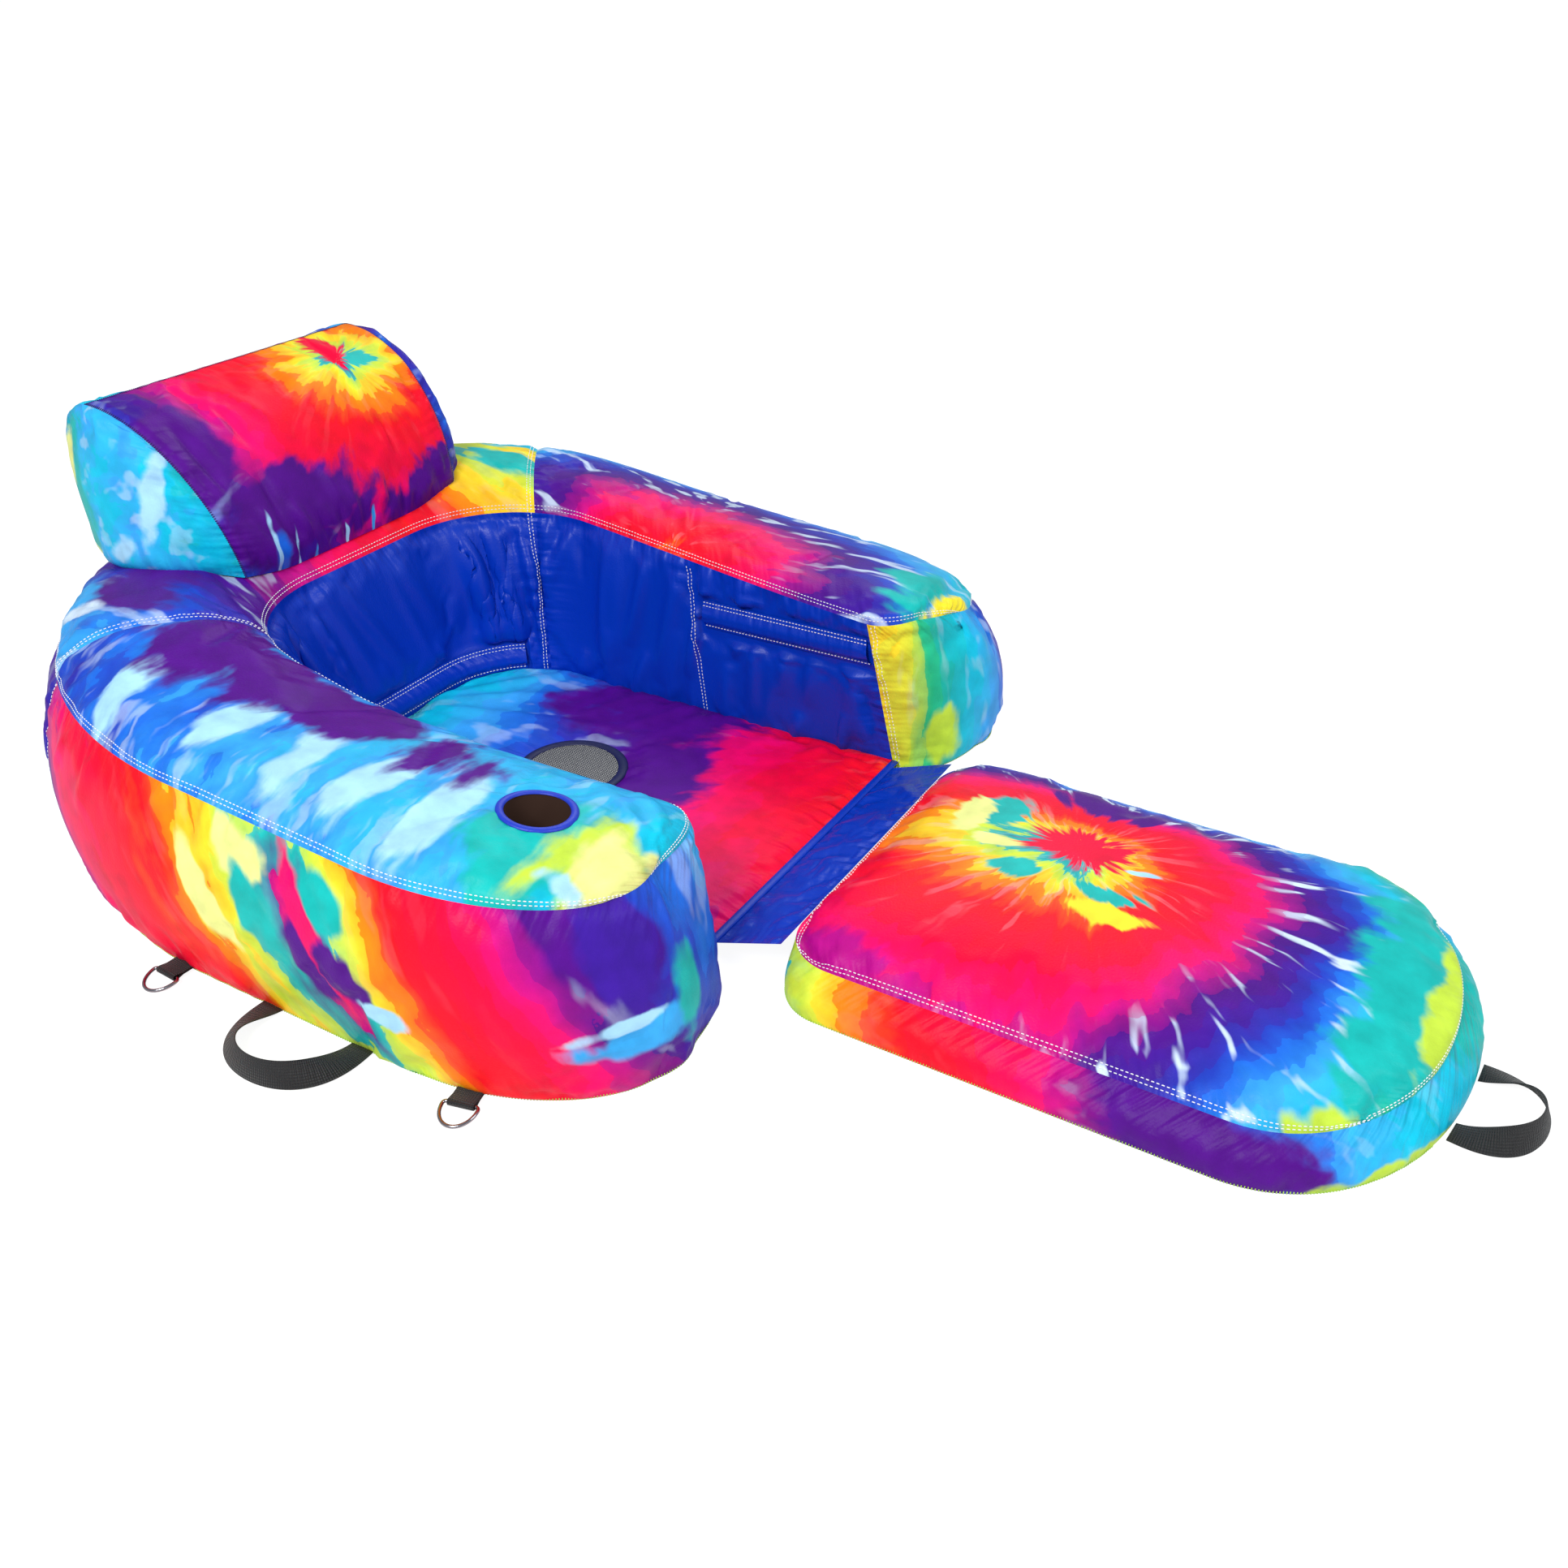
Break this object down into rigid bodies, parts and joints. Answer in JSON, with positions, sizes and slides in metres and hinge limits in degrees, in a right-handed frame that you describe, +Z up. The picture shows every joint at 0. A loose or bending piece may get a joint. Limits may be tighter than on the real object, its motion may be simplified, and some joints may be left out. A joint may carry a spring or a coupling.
{
  "type": "inflatable pool float",
  "caption": "Fabric-covered pool lounger: a horseshoe ring of mitred air cushions with a sling seat, wedge headrest, cup holder and a footrest hinged on a cloth panel.",
  "frame": {"origin": "middle of the bounding box at the floor", "axes": "+Z up, +X from the backrest towards the feet, +Y to the far side of the picture"},
  "size_m": [1.8904, 1.2838, 0.492],
  "materials": {
    "tie_dye_nylon": "satin nylon with a spiral tie-dye print",
    "blue_nylon": "satin royal-blue nylon",
    "underside_nylon": "plain lime nylon",
    "binding": "folded navy binding tape",
    "mesh": "open grey mesh",
    "pocket": "dark coated cloth",
    "webbing": "ribbed black webbing",
    "zip_tape": "coil zip on woven tape",
    "vinyl": "translucent vinyl",
    "plated_steel": "bright plating"
  },
  "bodies": {
    "lounger": {"back_band": "tie_dye_nylon", "back_base": "underside_nylon", "back_bladder": "vinyl", "back_top": "tie_dye_nylon", "back_valve": "vinyl", "back_wall": "blue_nylon", "back_zip": "zip_tape", "back_zip_flap": "blue_nylon", "cup_binding": "binding", "cup_pocket": "pocket", "drain_binding": "binding", "drain_mesh": "mesh", "far_arm_band": "tie_dye_nylon", "far_arm_base": "underside_nylon", "far_arm_bladder": "vinyl", "far_arm_top": "tie_dye_nylon", "far_arm_valve": "vinyl", "far_arm_wall": "blue_nylon", "far_arm_zip": "zip_tape", "far_arm_zip_flap": "blue_nylon", "far_front_tab": "webbing", "far_rear_tab": "webbing", "headrest_back": "tie_dye_nylon", "headrest_base": "underside_nylon", "headrest_bladder": "vinyl", "headrest_far_side": "tie_dye_nylon", "headrest_front": "tie_dye_nylon", "headrest_near_side": "tie_dye_nylon", "headrest_valve": "vinyl", "near_arm_band": "tie_dye_nylon", "near_arm_base": "underside_nylon", "near_arm_bladder": "vinyl", "near_arm_top": "tie_dye_nylon", "near_arm_valve": "vinyl", "near_arm_wall": "blue_nylon", "near_arm_zip": "zip_tape", "near_arm_zip_flap": "blue_nylon", "near_front_tab": "webbing", "near_rear_tab": "webbing", "seat_front_binding": "binding", "seat_sling": "tie_dye_nylon"},
    "back_zip_slider": {"back_zip_slider": "plated_steel"},
    "far_arm_zip_slider": {"far_arm_zip_slider": "plated_steel"},
    "far_front_ring": {"far_front_ring": "plated_steel"},
    "far_handle": {"far_handle": "webbing"},
    "far_rear_ring": {"far_rear_ring": "plated_steel"},
    "foot_handle": {"foot_handle": "webbing"},
    "footrest": {"footrest_band": "tie_dye_nylon", "footrest_base": "underside_nylon", "footrest_bladder": "vinyl", "footrest_top": "tie_dye_nylon", "footrest_valve": "vinyl"},
    "hinge_panel": {"hinge_panel": "blue_nylon"},
    "near_arm_zip_slider": {"near_arm_zip_slider": "plated_steel"},
    "near_front_ring": {"near_front_ring": "plated_steel"},
    "near_handle": {"near_handle": "webbing"},
    "near_rear_ring": {"near_rear_ring": "plated_steel"}
  },
  "joints": [
    {"name": "seat_to_hinge_panel", "type": "hinge", "parent": "lounger", "child": "hinge_panel", "pos_m": [0.0899, 0, 0.0164], "axis": [0, -1, 0], "range_deg": [-20, 30]},
    {"name": "hinge_panel_to_footrest", "type": "hinge", "parent": "hinge_panel", "child": "footrest", "pos_m": [0.17581, 0, 0.0488], "axis": [0, -1, 0], "range_deg": [-50, 60]},
    {"name": "near_rear_ring_turn", "type": "hinge", "parent": "lounger", "child": "near_rear_ring", "pos_m": [-0.41507, -0.56819, 0.0065], "axis": [-0.9986, 0.0533, 0], "range_deg": [-70, 90]},
    {"name": "near_front_ring_turn", "type": "hinge", "parent": "lounger", "child": "near_front_ring", "pos_m": [0.00443, -0.55805, 0.0065], "axis": [-0.9719, -0.2353, 0], "range_deg": [-70, 90]},
    {"name": "near_handle_fold", "type": "hinge", "parent": "lounger", "child": "near_handle", "pos_m": [-0.20969, -0.54451, 0.0022], "axis": [-1, 0, 0], "range_deg": [-70, 45]},
    {"name": "far_rear_ring_turn", "type": "hinge", "parent": "lounger", "child": "far_rear_ring", "pos_m": [-0.41507, 0.56819, 0.0065], "axis": [0.9986, 0.0533, 0], "range_deg": [-70, 90]},
    {"name": "far_front_ring_turn", "type": "hinge", "parent": "lounger", "child": "far_front_ring", "pos_m": [0.00443, 0.55805, 0.0065], "axis": [0.9719, -0.2353, 0], "range_deg": [-70, 90]},
    {"name": "far_handle_fold", "type": "hinge", "parent": "lounger", "child": "far_handle", "pos_m": [-0.20969, 0.54451, 0.0022], "axis": [1, 0, 0], "range_deg": [-70, 45]},
    {"name": "foot_handle_fold", "type": "hinge", "parent": "footrest", "child": "foot_handle", "pos_m": [0.86576, -0.04, 0.0022], "axis": [-0.1152, -0.9933, 0], "range_deg": [-70, 45]},
    {"name": "near_arm_zip_run", "type": "slide", "parent": "lounger", "child": "near_arm_zip_slider", "axis": [0.9964, 0.06, 0.0592], "range_m": [0, 0.2379]},
    {"name": "far_arm_zip_run", "type": "slide", "parent": "lounger", "child": "far_arm_zip_slider", "axis": [0.9964, -0.06, 0.0592], "range_m": [0, 0.2379]},
    {"name": "back_zip_run", "type": "slide", "parent": "lounger", "child": "back_zip_slider", "axis": [0, 1, 0], "range_m": [0, 0.1244]}
  ]
}
